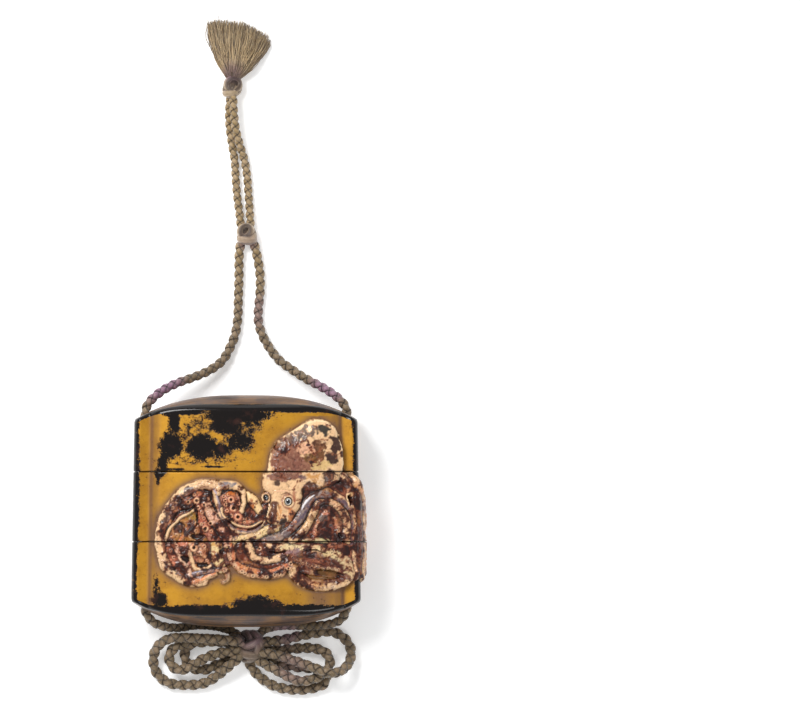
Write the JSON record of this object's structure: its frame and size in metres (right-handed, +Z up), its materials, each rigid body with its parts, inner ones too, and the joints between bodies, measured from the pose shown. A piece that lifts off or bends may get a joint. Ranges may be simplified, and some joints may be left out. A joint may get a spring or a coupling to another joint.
{
  "type": "inro case",
  "caption": "Lacquered case in three stacked sections with a carved octopus over its front, side and back, lying on its back with its braided silk cord, knots, bow and tassel.",
  "frame": {"origin": "centre of the case's underside as it lies on its back, on the surface it lies on", "axes": "+X across the case to its right, +Y along the case's height towards the tassel, +Z up, out of its front"},
  "size_m": [0.0703, 0.2035, 0.0269],
  "materials": {
    "lacquer_case": "worn gold lacquer over black on wood, with a carved octopus in cream, brown and grey",
    "eye_inlay": "polished pale shell with a dark pupil",
    "silk_cord": "four-strand braided silk, taupe with a soft sheen",
    "silk_knot": "tightly wound silk, taupe",
    "silk_tassel": "loose silk fibres, beige"
  },
  "bodies": {
    "root": {"lid": "lacquer_case", "middle_case": "lacquer_case", "bottom_case": "lacquer_case", "eye_near": "eye_inlay", "eye_far": "eye_inlay", "cord_left": "silk_cord", "cord_right": "silk_cord", "strand_left": "silk_cord", "strand_right": "silk_cord", "bow_loop_left_1": "silk_cord", "bow_loop_left_2": "silk_cord", "bow_loop_left_3": "silk_cord", "bow_loop_right_1": "silk_cord", "bow_loop_right_2": "silk_cord", "bow_loop_right_3": "silk_cord", "knot_joining": "silk_knot", "knot_tassel": "silk_knot", "bow_knot": "silk_knot", "tassel": "silk_tassel"}
  },
  "joints": []
}
